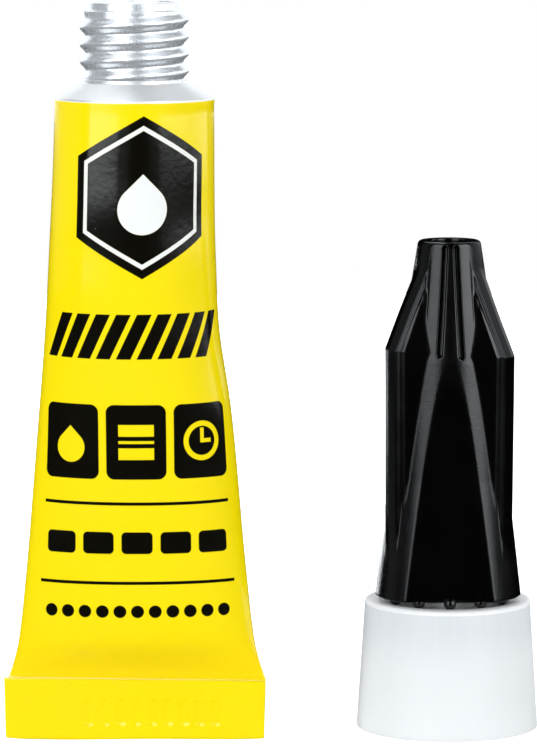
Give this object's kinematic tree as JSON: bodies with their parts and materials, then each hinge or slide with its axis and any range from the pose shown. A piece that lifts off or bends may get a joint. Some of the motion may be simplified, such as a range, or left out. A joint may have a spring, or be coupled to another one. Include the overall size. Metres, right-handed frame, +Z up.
{
  "type": "super glue tube",
  "caption": "Collapsible yellow aluminium glue tube standing on its folded tail, with its white piercing nozzle and black ribbed screw cap taken off and standing beside it.",
  "frame": {"origin": "under the middle of the whole set's box, on the surface that tube and closure stand on", "axes": "+Z up along the tube, +X from the tube towards the closure, +Y from the front of the tube to its back"},
  "size_m": [0.0462, 0.0212, 0.0632],
  "materials": {
    "printed_aluminium": "glossy yellow enamel over soft aluminium, bare at neck and shoulder",
    "bare_aluminium": "bright",
    "latex": "satin",
    "adhesive": "clear liquid",
    "white_plastic": "milky translucent",
    "black_plastic": "glossy with fine grain",
    "needle_steel": "drawn wire"
  },
  "bodies": {
    "tube": {"tube_shell": "printed_aluminium", "pierce_membrane": "bare_aluminium", "end_seal": "latex", "adhesive_fill": "adhesive"},
    "nozzle": {"nozzle": "white_plastic"},
    "needle": {"clearing_needle": "needle_steel"},
    "cap": {"cap": "black_plastic"}
  },
  "joints": [
    {"name": "nozzle_lift", "type": "slide", "parent": "tube", "child": "nozzle", "axis": [0, 0, 1], "range_m": [0, 0.07]},
    {"name": "cap_lift", "type": "slide", "parent": "nozzle", "child": "needle", "axis": [0, 0, 1], "range_m": [0, 0.0045]},
    {"name": "cap_turn", "type": "hinge", "parent": "needle", "child": "cap", "pos_m": [0.01517, 0.00272, 0.02], "axis": [0, 0, 1], "range_deg": [0, 1080]}
  ],
  "couplings": [
    {"joint": "cap_turn", "follows": "cap_lift", "rad_per_m": 4188.8}
  ]
}
